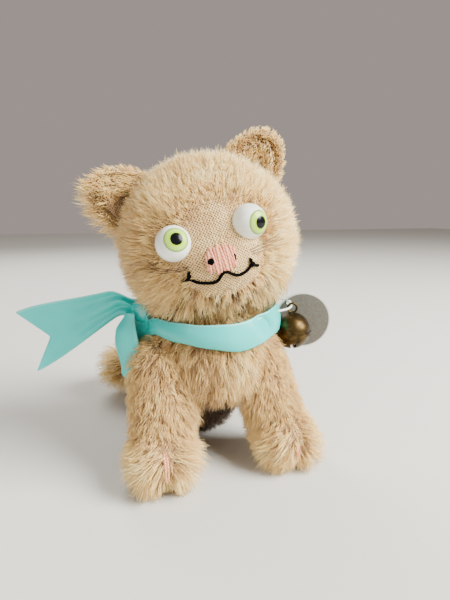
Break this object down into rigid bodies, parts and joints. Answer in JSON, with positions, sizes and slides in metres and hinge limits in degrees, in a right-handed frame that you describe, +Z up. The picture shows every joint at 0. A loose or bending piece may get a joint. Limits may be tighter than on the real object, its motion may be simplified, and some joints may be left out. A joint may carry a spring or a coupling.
{
  "type": "plush cat",
  "caption": "Small sitting mohair plush kitten with a turning disc-jointed head, glass eyes, stitched face, satin neck ribbon, hanging ball bell and card tag.",
  "frame": {"origin": "middle of the flat seat that the kitten rests on, level with the soles of its front paws", "axes": "+Z up, the kitten's body faces -Y, +X to the kitten's own left"},
  "size_m": [0.1017, 0.0951, 0.102],
  "materials": {
    "mohair_plush": "long pale golden mohair pile on woven cotton backing, sheared short on the muzzle",
    "filling": "packed cotton and wood-wool filling",
    "fibreboard": "pressed fibreboard disc, matte",
    "steel": "plain steel wire and washers",
    "pink_thread": "pink cotton floss, laid stitches",
    "dark_thread": "black waxed cotton floss",
    "whisker_thread": "stiff dark brown thread",
    "satin_ribbon": "aqua satin ribbon, woven edge, soft sheen",
    "white_glass": "opaque white lampworked glass, fire polished",
    "green_glass": "opaque yellow-green lampworked glass",
    "black_glass": "opaque black lampworked glass",
    "bronze": "antique bronze plating, rubbed bright on the high spots",
    "string": "fine twisted cotton string",
    "card": "plain unprinted card disc, white cut edge"
  },
  "bodies": {
    "torso": {"body_cloth": "mohair_plush", "body_filling": "filling", "neck_disc_body": "fibreboard", "neck_washer_body": "steel", "neck_cotter_pin": "steel", "front_leg_cloth_left": "mohair_plush", "front_leg_cloth_right": "mohair_plush", "front_leg_filling_left": "filling", "front_leg_filling_right": "filling", "toe_stitch_left": "pink_thread", "toe_stitch_right": "pink_thread", "tail_cloth": "mohair_plush", "tail_filling": "filling", "ribbon_collar": "satin_ribbon", "ribbon_knot": "satin_ribbon", "ribbon_tail_flared": "satin_ribbon", "ribbon_tail_hanging": "satin_ribbon", "tag_string": "string"},
    "head": {"head_cloth": "mohair_plush", "ear_back_left": "mohair_plush", "ear_back_right": "mohair_plush", "ear_lining_left": "mohair_plush", "ear_lining_right": "mohair_plush", "head_filling": "filling", "neck_disc_head": "fibreboard", "neck_washer_head": "steel", "eye_shank_left": "steel", "eye_shank_right": "steel", "nose_stitches": "pink_thread", "nostril_stitches": "dark_thread", "mouth_stitches": "dark_thread", "whiskers_left": "whisker_thread", "whiskers_right": "whisker_thread", "eye_anchor_threads": "whisker_thread", "eye_ball_left": "white_glass", "eye_ball_right": "white_glass", "eye_iris_left": "green_glass", "eye_iris_right": "green_glass", "eye_pupil_left": "black_glass", "eye_pupil_right": "black_glass"},
    "bell": {"bell_upper_shell": "bronze", "bell_lower_shell": "bronze", "bell_ring": "bronze"},
    "pellet": {"bell_pellet": "steel"},
    "tag": {"swing_tag": "card"}
  },
  "joints": [
    {"name": "head_swivel", "type": "hinge", "parent": "torso", "child": "head", "pos_m": [0.00203, -0.03031, 0.05248], "axis": [-0.1041, -0.0867, 0.9908], "continuous": true},
    {"name": "bell_swing", "type": "hinge", "parent": "torso", "child": "bell", "pos_m": [0.0279, -0.0352, 0.04965], "axis": [-0.3099, -0.9508, 0], "range_deg": [0, 70]},
    {"name": "pellet_rattle", "type": "slide", "parent": "bell", "child": "pellet", "axis": [0, 0, 1], "range_m": [0, 0.007]},
    {"name": "tag_swing", "type": "hinge", "parent": "torso", "child": "tag", "pos_m": [0.03026, -0.02797, 0.04965], "axis": [-0.3099, -0.9508, 0], "range_deg": [-15, 45]}
  ]
}
